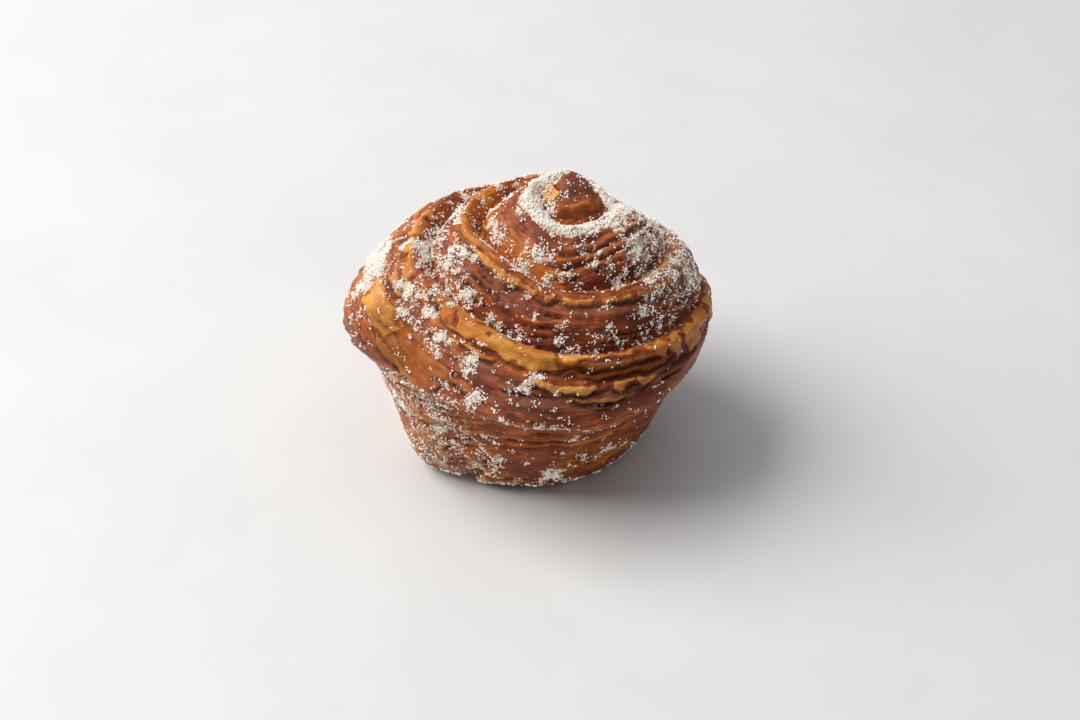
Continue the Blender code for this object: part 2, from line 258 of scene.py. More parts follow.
def twoNoises(points, size, finer, share, seed):
    return noiseAt(points, size, seed) + share * noiseAt(points, finer, seed + 1)


# The bun's outer form


def creasePlace(angle, height):
    # how far round from the crease, in radians, and how far up it
    climb = np.clip(height / bunForm["creaseHeight"], 0, 1)
    centre = radians(bunForm["creaseAngle"] + bunForm["creaseSwing"] * np.sin(math.pi * climb))
    return np.mod(angle - centre + math.pi, 2 * math.pi) - math.pi, climb


def creaseDepth(angle, height):
    past, climb = creasePlace(angle, height)
    ledge = hill(past, radians(bunForm["creaseLedge"]))
    hollow = sum(share * hill(past, radians(spread)) for share, spread in bunForm["creaseHollows"])
    notch = hill(past, radians(bunForm["notchSpread"])) * np.exp(-height / bunForm["notchHeight"])
    sunk = bunForm["creaseDepth"] * (1 - climb ** 3) * np.where(past > 0, ledge, hollow)
    return sunk + bunForm["notchDepth"] * notch


def envelope(angle, way):
    form = bunForm
    foot = bySide(angle, form["footRadius"]) + bulge(angle, form["footBulge"])
    rim = bySide(angle, form["rimRadius"]) + sum(bulge(angle, one) for one in form["rimBulges"])
    lip = bySide(angle, form["lipRadius"]) + bulge(angle, form["beak"]) + bulge(angle, form["flat"])
    rimZ, lipZ = bySide(angle, form["rimHeight"]), bySide(angle, form["lipHeight"])
    knobX, knobY, knobZ = form["knob"]
    fillet = form["footFillet"]
    bottom = np.clip(way, 0, 1)
    wall = np.clip(way - 1, 0, 1)
    turn = np.clip(way - 2, 0, 1)
    straight = bulge(angle, form["straightUnderBeak"])
    lipOut = straight * turn + (1 - straight) * np.sin(turn * math.pi / 2)
    lipUp = straight * turn + (1 - straight) * (1 - np.cos(turn * math.pi / 2))
    out = np.clip(4 - way, 0, 1)

    wallZ = rimZ * wall
    rounding = fillet * np.exp(-wallZ / (0.6 * fillet))
    wallRadius = foot + (rim - foot) * wall - rounding - creaseDepth(angle, wallZ)
    radius = np.where(way < 1, (foot - fillet - creaseDepth(angle, 0 * way)) * bottom, wallRadius)
    radius = np.where(way > 2, rim + (lip - rim) * lipOut, radius)
    height = np.where(way < 1, 0.0, wallZ)
    height = np.where(way > 2, rimZ + (lipZ - rimZ) * lipUp, height)

    dome = (1 - out ** bySide(angle, form["domeFullness"])) ** bySide(angle, form["domeShoulder"])
    roundRadius = form["lipRadius"][0] + (lip - form["lipRadius"][0]) * out ** 2
    radius = np.where(way > 3, roundRadius * out, radius)
    height = np.where(way > 3, lipZ + (knobZ - lipZ) * dome, height)
    lean = np.where(way > 3, 1 - out, 0.0)
    places = [knobX * lean + radius * np.cos(angle), knobY * lean + radius * np.sin(angle), height]
    onKnob = 1 - ramp(out, *form["knobShiftReach"])
    return np.stack(places, axis=-1) + onKnob[..., None] * np.array(form["knobShift"])


def evenWays(first, last, count):
    fine = np.linspace(first, last, 2000)
    angles = np.linspace(0, 2 * math.pi, 24, endpoint=False)
    points = envelope(angles[None, :], fine[:, None])
    lengths = np.linalg.norm(np.diff(points, axis=0), axis=-1).mean(axis=1)
    along = np.concatenate([[0], np.cumsum(lengths)])
    return np.interp(np.linspace(0, along[-1], count + 1), along, fine)


def normalsOf(points):
    around = np.roll(points, -1, axis=1) - np.roll(points, 1, axis=1)
    normal = np.cross(around, np.gradient(points, axis=0))
    normal[0] = (0, 0, -1)
    normal[-1] = (0, 0, 1)
    return normal / np.maximum(np.linalg.norm(normal, axis=-1, keepdims=True), 1e-12)


def quarterTurnCurve(values, turns):
    # a smooth curve through values given at each quarter turn
    at = np.clip(turns * 4, 0, len(values) - 1.001)
    low = at.astype(int)
    t = at - low
    table = np.array([values[0], *values, values[-1]])
    p0, p1, p2, p3 = (table[low + n] for n in range(4))
    return 0.5 * (2 * p1 + (p2 - p0) * t + (2 * p0 - 5 * p1 + 4 * p2 - p3) * t ** 2
                  + (3 * p1 - p0 - 3 * p2 + p3) * t ** 3)


def pillow(distance, reach):
    # the quarter round of a swollen edge: 1 in the groove, 0 from reach on
    bottom = coilForm["bottom"]
    x = np.clip(np.hypot(distance, bottom) / reach, 0, 1)
    lowest = 1 - math.sqrt(1 - (1 - bottom / reach) ** 2)
    return (1 - np.sqrt(1 - (1 - x) ** 2)) / lowest


def lipsAt(distance, inner, outer):
    # a crease whose two sides swell over different reaches
    return np.where(distance > 0, pillow(distance, outer), pillow(distance, inner))


def grooveShare(turn, coil):
    share = quarterTurnCurve(coilForm["shares"], turn + coil)
    return share + bulge(2 * math.pi * turn, coilForm["thirdBend"]) if coil == 2 else share


def coilRelief(angle, along, total):
    # how deep the spiral groove is, and how much of a groove each point lies in
    turn = angle / (2 * math.pi)
    sunk = np.zeros_like(along)
    inGroove = np.zeros_like(along)
    shift, width = coilForm["grooveMask"]
    for coil in range(coilForm["coils"]):
        depth = quarterTurnCurve(coilForm["depths"], turn + coil)
        away = along - grooveShare(turn, coil) * total
        sunk += depth * lipsAt(away, coilForm["wall"], coilForm["edge"])
        inGroove = np.maximum(inGroove, depth / max(coilForm["depths"]) * hill(away + shift, width))
    return -sunk * ramp(along, *knobForm["eye"]), inGroove


def stripPlace(angle, along, total):
    # turns from the knob, distance out from the coil's inner edge, and the share of the coil's width
    turn = angle / (2 * math.pi) + np.zeros_like(along)
    winding = turn - 1
    across = along.copy()
    width = quarterTurnCurve(coilForm["shares"], turn) * total
    for coil in range(coilForm["coils"]):
        centre = grooveShare(turn, coil) * total
        outside = along > centre
        winding = np.where(outside, turn + coil, winding)
        across = np.where(outside, along - centre, across)
        width = np.where(outside, grooveShare(turn, coil + 1) * total - centre, width)
    return winding, across, np.clip(across / np.maximum(width, 1e-4), 0, 1)


def layerEdges(level, drop=0.2):
    # a slow climb to each layer's edge, then a drop
    t = level - np.floor(level)
    return np.where(t < 1 - drop, t / (1 - drop), (1 - t) / drop) - 0.5


def knobRelief(angle, along, total):
    form = knobForm
    swell = form["swell"] * np.sqrt(np.clip(1 - (along / total / form["share"]) ** 2, 0, 1))
    turn = np.mod(angle / (2 * math.pi) + 0.5, 1)
    first, last = form["foldOut"]
    fold = lipsAt(along - first - (last - first) * turn, *form["foldLips"])
    return swell - form["foldDepth"] * fold * ramp(turn, 0.0, 0.3) * (1 - ramp(turn, 0.8, 1.0))


def domeRelief(angle, along, total, winding, across, share):
    # layers, bands, knob, tiers, split and saddle that lie along the coil
    coil = coilForm
    level = across / coil["layerStep"] + coil["layerWander"] * coilNoise("layers", winding, across)
    patches = varied(coilNoise("layerPatches", winding, across), *coil["patchStrength"])
    patches = patches * ramp(winding, *coil["layerTurns"])
    patches = patches * ramp(share, *coil["layerRise"]) * between(share, *coil["layeredShares"])
    relief = coil["layerRelief"] * patches * layerEdges(level)
    width = coil["bandWidth"]
    second = coil["secondBandHeight"] * between(winding, *coil["secondBandTurns"])
    second = second * hill(across - width / 3, width / 3)
    third = between(winding, *coil["thirdBandTurns"]) * hill(across - width / 2, width / 2)
    relief += coil["bandHeight"] * (second + third) + knobRelief(angle, along, total)
    ragged = across + coil["tierRaggedness"] * coilNoise("tiers", winding)
    for form, out in coil["tiers"]:
        tier = bulge(angle, form) * hill(ragged - out, coil["tierWidth"])
        relief += ramp(winding, *coil["tierTurns"]) * tier
    split = coil["splitShare"] + coil["splitWander"] * coilNoise("split", winding)
    relief += bulge(angle, coil["split"]) * lipsAt(along - split * total, *coil["splitLips"])
    at, reach = coil["saddlePlace"]
    return relief - bulge(angle, coil["saddle"]) * hill(along / total - at, reach)


def wallRelief(angle, points, below):
    # layers that run round the wall, and the hem under the beak
    coil = coilForm
    level = points[..., 2] / (coil["wallStepRatio"] * coil["layerStep"])
    level = level + coil["layerWander"] * wallNoise(points, *fields["wall"])
    patches = varied(wallNoise(points, *fields["wallPatches"]), 0.5, 0.5)
    width = coil["hemWidth"]
    hem = hill(below - coil["hemRidge"], width) - hill(below - coil["hemLine"], width)
    return -coil["wallLayerRelief"] * patches * layerEdges(level) + bulge(angle, coil["hem"]) * hem


def blisters(angle, points, share):
    coil = coilForm
    least, power = coil["blisterShape"]
    swelling = np.clip(noiseAt(points, *fields["blisters"]) - least, 0, None) ** power
    small = bulge(angle, coil["blister"]) * ramp(share, *coil["blisterRise"])
    small = small * limited(share, coil["blisterFall"]) * swelling
    bigAt, bigWidth = coil["bigBlisterPlace"]
    crackAt, crackWidth = coil["crackPlace"]
    big = bulge(angle, coil["bigBlister"]) * hill(share - bigAt, bigWidth)
    return small + big + bulge(angle, coil["crack"]) * hill(share - crackAt, crackWidth)


def underRelief(angle, radius):
    # the shallow spiral in the flat foot
    start, full = coilForm["underStart"]
    turns = (radius - start) / coilForm["underPitch"] + angle / (2 * math.pi)
    away = (turns - np.round(turns)) * coilForm["underPitch"]
    inside = ramp(radius, start, full) * (1 - ramp(radius, *coilForm["underEnd"]))
    return -coilForm["underDepth"] * hill(away, coilForm["underWidth"]) * inside


# The crust's flakes. Each is given by its first and last turn, how far out it starts and ends from the
# coil's inner edge there, how ragged its edge is, and how pale it is, with dull ones below 0.
flakeForm = {
    "height": 0.00045,
    "undercut": 0.00055,
    "fade": 0.35,  # share of its length
    "rise": (-0.0001, 0.0004),
    "ends": (0.05, 0.2),
    # the painted shadow line under each flake's edge
    "gap": (0.0006, 0.0005),  # how far below the edge, and its width
    "gapEnds": (0.2, 0.6),
    "holes": (0.30, 0.50),
    "holeGrowth": 250,
    "torn": (0.0008, 0.0012),  # the raggedness from which a flake has holes
    "flakes": (
        (-0.54, -0.33, 0.0040, 0.0076, 0.0006, 0.9),  # the knob's
        (0.80, 0.97, 0.0004, 0.0016, 0.0003, 0.3),
        (1.42, 1.60, 0.0016, 0.0034, 0.0010, 0.1),  # the second coil's
        (1.58, 1.70, 0.0040, 0.0058, 0.0009, 0.6),
        (1.66, 1.96, 0.0036, 0.0050, 0.0011, 0.3),
        (1.76, 1.99, 0.0001, 0.0012, 0.0004, 0.4),
        (1.12, 1.30, 0.0030, 0.0052, 0.0012, 0.4),
        (2.600, 2.785, 0.0003, 0.0056, 0.0011, 0.45),  # the third coil's band
        (2.775, 2.860, 0.0004, 0.0015, 0.0006, 0.2),
        (2.785, 2.885, 0.0025, 0.0036, 0.0007, -0.1),
        (2.780, 2.900, 0.0046, 0.0060, 0.0010, -0.3),
        (2.880, 3.03, 0.0004, 0.0068, 0.0014, 0.4),
        (2.745, 2.805, 0.0080, 0.0102, 0.0008, 0.8),  # the tier below it
        (2.80, 2.868, 0.0072, 0.0090, 0.0016, 0.3),
        (2.785, 2.838, 0.0108, 0.0123, 0.0010, 0.3),
        (2.655, 2.70, 0.0068, 0.0080, 0.0008, 0.3),
        (2.455, 2.528, 0.0014, 0.0060, 0.0018, 0.5),  # the left lobe's
        (2.530, 2.554, 0.0036, 0.0074, 0.0014, 0.2),
        (2.532, 2.560, 0.0084, 0.0112, 0.0016, 0.4),
        (2.524, 2.578, 0.0126, 0.0192, 0.0015, 0.5),
        (2.555, 2.648, 0.0145, 0.0236, 0.0009, -0.25),
        (2.20, 2.32, 0.0030, 0.0075, 0.0016, 0.4),  # the back's
        (2.35, 2.44, 0.0080, 0.0135, 0.0018, 0.3),
    ),
}

# The thin sheets that the dough is laminated from, and the crust's pimples and pits
sheetForm = {
    "turnLength": 0.053,  # along the strip to the end of its first turn
    "step": 0.0026,
    "drop": 0.3,
    "height": 0.00080,
    "wander": (0.9, 0.25),
    "fineParting": 0.25,
    "strengthRise": (-0.2, 0.5),
    "strength": (0.40, 0.80),
    "slitDepth": 0.00105,
    "slitRise": (0.20, 0.55),
    "slitWidths": (0.24, 0.20),
    "edgeRise": (0.00, 0.40),
    "edgePlace": (0.62, 0.18),
    "steepRise": (0.22, 0.5),
    "steepOnKnob": 0.8,
    "onFlat": (0.35, 0.65),
    "underFlake": 0.85,
    "pimpleHeight": 0.00020,
    "pitDepth": 0.00035,
    "pitRise": (0.55, 0.8),
    "pitAreaRise": (-0.1, 0.4),
}


def stripNoise(s, name, shift=0.0):
    # random values drawn out along the strip
    run, step, seed = fields[name]
    length = sheetForm["turnLength"] * s["winding"] * np.abs(s["winding"])
    onCoil = noise(length / run + 5.3 * shift, s["across"] / step + 1.7 * shift, 0.0, seed)
    onWall = wallNoise(s["points"], run, step, seed, shift)
    return onWall + (onCoil - onWall) * s["onDome"]


def flakeMasks(s):
    # where the golden flakes lie, the dark line under each one's lower edge, a painted shadow that is
    # also cut in as an undercut, and how pale they are
    form = flakeForm
    points, across = s["points"], s["across"]
    winding = np.where(s["ways"] < wayForm["coil"], -9, s["winding"])
    golden, flakeShadow, pale = (np.zeros(across.shape) for _ in range(3))
    ragged = twoNoises(points, *fields["ragged"])
    holes = noiseAt(points, *fields["holes"])
    below, width = form["gap"]
    for first, last, inner, outer, raggedness, paleness in form["flakes"]:
        taper = between(winding, first, last, form["fade"] * (last - first))
        edge = inner + (outer - inner) * taper + raggedness * ragged * taper - across
        inside = np.minimum(edge, across - inner - 0.5 * raggedness * ragged)
        growth = form["holeGrowth"] * (raggedness - form["torn"][1])
        whole = 1 - ramp(holes + growth, *form["holes"]) * ramp(raggedness, *form["torn"])
        flake = whole * ramp(inside, *form["rise"]) * ramp(taper, *form["ends"])
        pale = np.where(flake > golden, paleness, pale)
        golden = np.maximum(golden, flake)
        flakeShadow = np.maximum(flakeShadow, hill(edge + below, width) * ramp(taper, *form["gapEnds"]))
    return golden, flakeShadow * (1 - golden), pale


def sheetEdges(s, onSide):
    # each sheet's relief and tone, and the slits and bright edges where two sheets part; the slits are
    # painted near black as shade
    form = sheetForm
    coarse, fine = form["wander"]
    wander = coarse * stripNoise(s, "sheets") + fine * noiseAt(s["points"], *fields["fineSheets"])
    sheet = s["level"] / form["step"] + wander
    number = np.floor(sheet)
    place = sheet - number
    tone = stripNoise(s, "tone", number)
    parted = stripNoise(s, "parting", number)
    parted = parted + form["fineParting"] * noiseAt(s["points"], *fields["fineParting"])
    strength = varied(ramp(parted, *form["strengthRise"]), *form["strength"]) * onSide
    relief = form["height"] * layerEdges(sheet, form["drop"]) * strength
    above, below = form["slitWidths"]
    slit = ramp(parted, *form["slitRise"]) * (hill(place - 1.0, above) + hill(place, below)) * onSide
    at, width = form["edgePlace"]
    edge = ramp(parted, *form["edgeRise"]) * hill(place - at, width) * onSide
    return relief, tone, slit, edge


def fineRelief(s, onSide):
    # flakes, sheets, pimples and pits: their relief, and the masks that colour the crust
    form = sheetForm
    points = s["points"]
    golden, flakeShadow, pale = flakeMasks(s)
    sheetRelief, tone, slit, edge = sheetEdges(s, onSide)
    steep = np.maximum(ramp(s["share"], *form["steepRise"]), form["steepOnKnob"] * (s["winding"] < 0))
    steep = steep * s["onDome"] + s["onWall"]
    pits = ramp(noiseAt(points, *fields["pits"]), *form["pitRise"])
    pits = pits * ramp(noiseAt(points, *fields["pitAreas"]), *form["pitAreaRise"]) * onSide
    relief = sheetRelief * (1 - form["underFlake"] * golden) * varied(steep, *form["onFlat"])
    relief += flakeForm["height"] * golden - flakeForm["undercut"] * flakeShadow
    relief += form["pimpleHeight"] * twoNoises(points, *fields["pimples"]) * onSide
    relief -= form["slitDepth"] * slit * steep * (1 - golden) + form["pitDepth"] * pits
    # the slits and the lines under the flakes, painted near black as shade
    slit = np.clip(slit * steep + flakeShadow, 0, 1)
    return relief, {"golden": golden, "pale": pale, "slit": slit, "tone": tone, "edge": edge * steep}


def bunSurface():
    # the form as a grid of points, from the middle of the bottom to the knob and round the bun
    ways = [evenWays(n, n + 1, count)[min(n, 1):] for n, count in enumerate(bunForm["rows"])]
    ways = np.concatenate(ways)[:, None]
    columns = bunForm["columns"]
    angle = np.linspace(0, 2 * math.pi, columns, endpoint=False)[None, :]
    plain = envelope(angle, ways)
    normal = normalsOf(plain)
    steps = np.linalg.norm(np.diff(plain[::-1], axis=0), axis=-1)
    along = np.concatenate([np.zeros((1, columns)), np.cumsum(steps, axis=0)])[::-1]
    total = along[sum(bunForm["rows"][:3])][None, :]
    winding, across, share = stripPlace(angle, along, total)
    sunk, inGroove = coilRelief(angle, along, total)

    onDome = ramp(ways, *wayForm["dome"])
    onWall = ramp(ways, *wayForm["wall"]) * limited(ways, wayForm["wallEnd"])
    relief = onDome * (sunk + domeRelief(angle, along, total, winding, across, share))
    relief += onWall * wallRelief(angle, plain, along - total)
    relief += onDome * blisters(angle, plain, along / total)
    uneven = noiseAt(plain, *fields["unevenness"])
    relief += coilForm["unevenness"] * ramp(ways, *wayForm["unevenness"]) * uneven
    radius = np.hypot(plain[..., 0], plain[..., 1])
    relief += np.where(ways < 1, underRelief(angle, radius), 0)
    points = plain + normal * relief[..., None]
    middle = (points.reshape(-1, 3).min(axis=0) + points.reshape(-1, 3).max(axis=0)) / 2

    onDome = onDome + 0 * along
    s = {"points": points, "winding": winding, "across": across, "share": share,
         "angle": angle + 0 * along, "ways": ways + 0 * along, "dome": along / total,
         "below": along - total, "groove": inGroove * onDome, "onDome": onDome, "onWall": 1 - onDome,
         "level": np.where(ways < wayForm["coil"], along - total, across)}
    relief, masks = fineRelief(s, ramp(ways, *wayForm["side"]))
    points = points + normal * relief[..., None] - (middle[0], middle[1], 0)
    s["points"] = np.clip(points, cadBox[0], cadBox[1])
    s["normals"] = normalsOf(s["points"])
    s.update(masks)
    return s


surface = bunSurface()
print("Made the form:", surface["points"].shape[0], "rows")


def clumps(points, size, low, high, seed):
    # patches of two sizes together, 0 where they are low and 1 where they are high
    value = 0.65 * noiseAt(points, size, seed) + 0.35 * noiseAt(points, 0.4 * size, seed + 1)
    return ramp(value, low, high)


def within(angle, first, last, fade):
    # 1 between two directions, given in degrees, and 0 beyond them
    middle, half = (first + last) / 2, (last - first) / 2
    away = np.abs(np.mod(np.degrees(angle) - middle + 180, 360) - 180)
    return 1 - ramp(away, half - fade / 2, half + fade / 2)


def areaOf(s, limits):
    # 1 in the part of the crust that the limits on its coordinates leave, and 0 outside it; a
    # coordinate without limits is a mask
    total = 1.0
    for name, limit in limits.items():
        if name == "angle":
            total = total * within(s["angle"], *limit)
        else:
            total = total * (limited(s[name], limit) if limit else s[name])
    return total


def areaSum(s, areas):
    return sum(share * areaOf(s, limits) for share, limits in areas)


# The dark rims and areas of the crust, coloured purple-brown: real browning, lightened by a painted sheen
# of reflected sky. The rim's path is turns from the knob and the distance out.
scorchAndSheenForm = {
    "rimPath": ((0.40, 0.0078), (0.77, 0.0076), (0.90, 0.0103), (1.50, 0.0079), (1.60, 0.0108),
                (1.76, 0.0068), (1.90, 0.0060), (2.50, 0.0100), (2.70, 0.0105), (2.85, 0.0130)),
    "rimWidth": 0.0021,
    "rimStart": (0.30, 0.45),
    "rims": 0.95,
    "areas": (
        (0.90, {"below": (-0.0040, 0.0042, 0.0014), "angle": (148, 243, 26)}),  # the beak's hem
        (0.80, {"dome": (0.925, 0.985, 0.04), "angle": (248, 332, 20)}),  # the front's fold
        (0.35, {"dome": (0.16, 0.10), "angle": (250, 420, 60)}),  # the knob's side
        (0.45, {"bands": (0.10, 0.50), "onWall": (), "angle": (240, 500, 30)}),
    ),
    "patchStrength": (0.80, 0.45),
}

# The areas that are more orange where the crust opened or stayed pale, and darker below 0, where the
# darkening is painted shade on the lower walls of the first two coils and on the fold at the front
warmthAndShadeForm = {
    "limits": (-1, 1.3),
    "areas": (
        (0.60, {"winding": (0.42, 0.72, 0.1), "across": (0.010, 0.014), "onDome": ()}),
        (1.20, {"winding": (1.36, 1.66, 0.08), "across": (-0.001, 0.0046, 0.0012), "onDome": ()}),
        (0.55, {"angle": (160, 236, 24), "dome": (0.62, 1.0, 0.1)}),
        (0.35, {"angle": (170, 262, 30), "onWall": ()}),
        # painted shade: the lower walls of the first two coils and the fold at the front are darker
        (-0.80, {"winding": (1.60, 2.02, 0.08), "across": (0.006, 0.010), "onDome": ()}),
        (-0.45, {"winding": (0.76, 1.05, 0.08), "across": (0.011, 0.014), "onDome": ()}),
        (-0.50, {"dome": (0.86, 1.02, 0.05), "angle": (250, 340, 20)}),
    ),
}


def scorchAndSheenOf(s):
    form = scorchAndSheenForm
    patchy = varied(stripNoise(s, "scorchAndSheen"), *form["patchStrength"])
    s["bands"] = stripNoise(s, "scorchBands")
    turns, outs = zip(*form["rimPath"])
    rims = hill(s["across"] - np.interp(s["winding"], turns, outs), form["rimWidth"])
    total = form["rims"] * rims * ramp(s["winding"], *form["rimStart"]) * s["onDome"]
    return np.clip((total + areaSum(s, form["areas"])) * patchy, 0, 1)


def warmthAndShadeOf(s):
    return np.clip(areaSum(s, warmthAndShadeForm["areas"]), *warmthAndShadeForm["limits"])


# Sugar. An area is given by its grains to a square millimetre, its limits, and how many of them lie
# evenly, in wide patches, in tight ones and where both meet. A patch is given by its direction, its
# share of the way to the lip (the wall is beyond 1), its radius in mm and its grains to a square mm.
sugarForm = {
    "smallest": 0.00020,
    "largest": 0.00040,
    "thinnest": 0.65,  # of a grain's length
    "bedded": 0.25,  # how far out of the crust its middle is, of its length
    "clumps": ((1, 0.58), (3, 0.26), (7, 0.12), (14, 0.04)),  # grains, share of clumps
    "spread": 0.00022,
    "heap": 0.00032,
    "mostPerPiece": 16500,
    "seed": 7,
    "overall": 1.35,
    "sprinkle": 0.10,
    "knobSprinkle": 0.50,
    "knobEnd": (0.16, 0.10),
    "wide": (0.0050, -0.20, 0.35, 91),
    "tight": (0.0024, -0.05, 0.35, 94),
    "areas": (
        (12.0, {"winding": (0.24, 1.25, 0.15), "across": (-0.0010, 0.0051, 0.0014)},
         (0.45, 0.20, 0.35, 0)),
        (4.3, {"angle": (-38, 82, 26), "dome": (0.24, 0.80, 0.12)}, (0.30, 0.21, 0, 0.49)),
        (4.0, {"angle": (82, 160, 30), "dome": (0.30, 0.90, 0.12)}, (0, 0, 0, 1)),
        (5.0, {"groove": (), "winding": (1.3, 1.5)}, (0, 0.3, 0, 0.7)),
        (1.0, {"lipLine": (), "angle": (212, 292, 30)}, (0.3, 0, 0.7, 0)),
        (1.3, {"onWall": (), "angle": (150, 243, 30)}, (0.25, 0.75, 0, 0)),
        (1.56, {"onWall": (), "beside": ()}, (0, 1, 0, 0)),
        (1.0, {"onWall": (), "height": (0.0050, 0.0020), "angle": (170, 400, 40)}, (0, 2.6, 1.8, 0)),
        (0.1, {"onWall": ()}, (0, 0, 1, 0)),
        (0.9, {"onWall": (), "angle": (20, 150, 40)}, (0, 0, 0, 1)),
    ),
    "besideCrease": (-5, 6, (0.028, 0.022)),  # direction, width and upper end
    "patchEdges": 0.9,
    "patchParts": ((1, 1.25), (0.10, 2.5)),  # shares of the density and of the radius
    "patchStrength": 1.75,
    "patchTightness": (0.10, 0.90),
    "flakeCover": (0.45, 0.50),  # how bare flakes are, and more in the recess
    "recessTurns": (2.56, 2.62),
    "patches": (
        # the first crest
        (204, 0.18, 1.9, 6), (224, 0.19, 1.2, 4), (225, 0.115, 1.6, 5),
        # its wall
        (246, 0.35, 2, 6), (238, 0.40, 2.4, 7), (255, 0.42, 1.8, 4), (292, 0.39, 1.5, 4),
        (292, 0.33, 1.4, 3), (305, 0.37, 1.3, 3.5), (313, 0.43, 1.3, 3), (332, 0.46, 2.2, 6),
        (316, 0.50, 1.9, 6), (276, 0.41, 1.2, 3), (326, 0.33, 1.6, 5),
        # the crevice
        (160, 0.24, 1.8, 5), (169, 0.28, 1.6, 5), (185, 0.30, 1.5, 5), (205, 0.34, 1.6, 5),
        (158, 0.35, 1.6, 5), (168, 0.36, 1.4, 4), (232, 0.44, 1.8, 7), (180, 0.41, 1.4, 3),
        # the diagonal
        (158, 0.44, 2.4, 7), (168, 0.44, 2.4, 8), (179, 0.49, 2.9, 9), (186, 0.53, 3.1, 9.5),
        (193, 0.57, 3.2, 9.5), (202, 0.62, 3.2, 9.5), (212, 0.65, 2.9, 8), (208, 0.60, 3.2, 9.5),
        (205, 0.55, 2.8, 9), (222, 0.62, 2.4, 6.5), (231, 0.64, 2, 6), (240, 0.66, 1.6, 5),
        # the lobe and its rim
        (207, 0.74, 2.8, 9.5), (211, 0.69, 3.2, 10), (203, 0.68, 2.2, 7),
        (158, 0.72, 2.8, 6.5), (166, 0.73, 2.8, 6.5), (174, 0.74, 2.8, 6.5), (182, 0.75, 2.8, 6),
        (187, 0.81, 2.4, 7), (192, 0.90, 1.6, 2.5), (190, 0.95, 1.8, 2.5),
        # the trail down the front
        (218, 0.80, 1.7, 6), (226, 0.82, 2, 7), (223, 0.87, 1.9, 6.5), (229, 0.88, 2, 6),
        (234, 0.92, 2, 6), (236, 0.97, 1.6, 4), (240, 0.85, 1.7, 6), (243, 0.90, 1.6, 5),
        (246, 0.97, 1.6, 5),
        # the front walls
        (262, 0.69, 1.2, 4), (275, 0.71, 1.6, 4.5), (297, 0.72, 1.8, 4.5), (300, 0.58, 1.4, 2.5),
        (316, 0.67, 1.8, 3.5), (326, 0.78, 2, 4), (334, 0.76, 2.2, 5), (340, 0.66, 2, 5),
        # the recess
        (266, 0.88, 1.8, 6), (271, 0.86, 1.9, 6), (263, 0.93, 1.5, 4),
        # the foot
        (276, 1.05, 1.4, 4), (285, 1.27, 1.4, 4), (290, 1.38, 1.3, 4), (300, 1.44, 1.4, 4),
        (307, 1.52, 1.8, 5), (280, 1.50, 1.7, 5), (228, 1.25, 1.8, 4.5), (237, 1.28, 1.5, 4),
        (248, 1.24, 1.4, 4), (251, 1.38, 1.8, 5), (254, 1.50, 1.7, 5), (214, 1.20, 2.4, 3),
    ),
}


def patchesOf(s):
    form = sugarForm
    total = np.zeros(s["dome"].shape)
    ragged = varied(noiseAt(s["points"], *fields["patchEdges"]), 1, form["patchEdges"])
    for direction, share, radius, density in form["patches"]:
        column = round(direction / 360 * bunForm["columns"]) % bunForm["columns"]
        row = np.abs(s["dome"][:, column] - share).argmin()
        away = np.linalg.norm(s["points"] - s["points"][row, column], axis=-1) * ragged
        patch = sum(part * hill(away, wider * radius / 1000) for part, wider in form["patchParts"])
        total = np.maximum(total, density * patch)
    return total


def sugarOf(s):
    # grains to each square millimetre
    form = sugarForm
    winding = s["winding"]
    s["height"] = s["points"][..., 2]
    lipLine, width = wayForm["lipLine"]
    s["lipLine"] = hill(s["ways"] - lipLine, width)
    direction, width, upperEnd = form["besideCrease"]
    past = creasePlace(s["angle"], s["height"])[0]
    s["beside"] = hill(past - radians(direction), radians(width)) * limited(s["height"], upperEnd)
    wide, tight = (clumps(s["points"], *form[name]) for name in ("wide", "tight"))
    spread = 0.0
    for density, limits, (evenly, inWide, inTight, inBoth) in form["areas"]:
        lie = evenly + inWide * wide + inTight * tight + inBoth * wide * tight
        spread = spread + density * areaOf(s, limits) * lie
    patches = form["patchStrength"] * patchesOf(s) * varied(tight, *form["patchTightness"])
    cover = s["golden"] * varied(ramp(winding, *form["recessTurns"]), *form["flakeCover"])
    sprinkle = varied(limited(s["dome"], form["knobEnd"]), form["sprinkle"], form["knobSprinkle"])
    spread = form["overall"] * np.maximum(spread, patches) * (1 - cover) + sprinkle
    return spread * (s["ways"] > wayForm["sugar"])


# The fine sugar between the grains: a colour on the crust
dustForm = {
    "beds": (0.8, 6.0),  # grains to a square millimetre
    "areas": (
        (0.80, {"angle": (154, 189, 12), "dome": (0.69, 0.80, 0.06)}),
        (0.42, {"angle": (150, 243, 30), "onWall": ()}),
        (0.34, {"angle": (-38, 82, 26), "dome": (0.28, 0.74, 0.12)}),
    ),
    "patches": (0.0035, -0.3, 0.4, 97),
    "patchStrength": (0.40, 0.60),
    "flakeCover": 0.6,
}


def dustOf(s):
    form = dustForm
    fine = clumps(s["points"], *form["patches"])
    total = ramp(s["sugar"], *form["beds"]) + areaSum(s, form["areas"])
    total = total * varied(fine, *form["patchStrength"]) * (1 - form["flakeCover"] * s["golden"])
    return np.clip(total, 0, 1) * (s["ways"] > wayForm["dust"])


def gridFaces(rowCount, columnCount):
    # quads between rings of points, with the first and the last ring closed by a fan to one point
    n = np.arange(columnCount)
    after = (n + 1) % columnCount
    faces = [(0, 1 + b, 1 + a) for a, b in zip(n, after)]
    for row in range(rowCount - 3):
        low = 1 + row * columnCount
        high = low + columnCount
        faces.extend(zip(low + n, low + after, high + after, high + n))
    top = 1 + (rowCount - 2) * columnCount
    ring = top - columnCount
    faces.extend((top, ring + a, ring + b) for a, b in zip(n, after))
    return faces


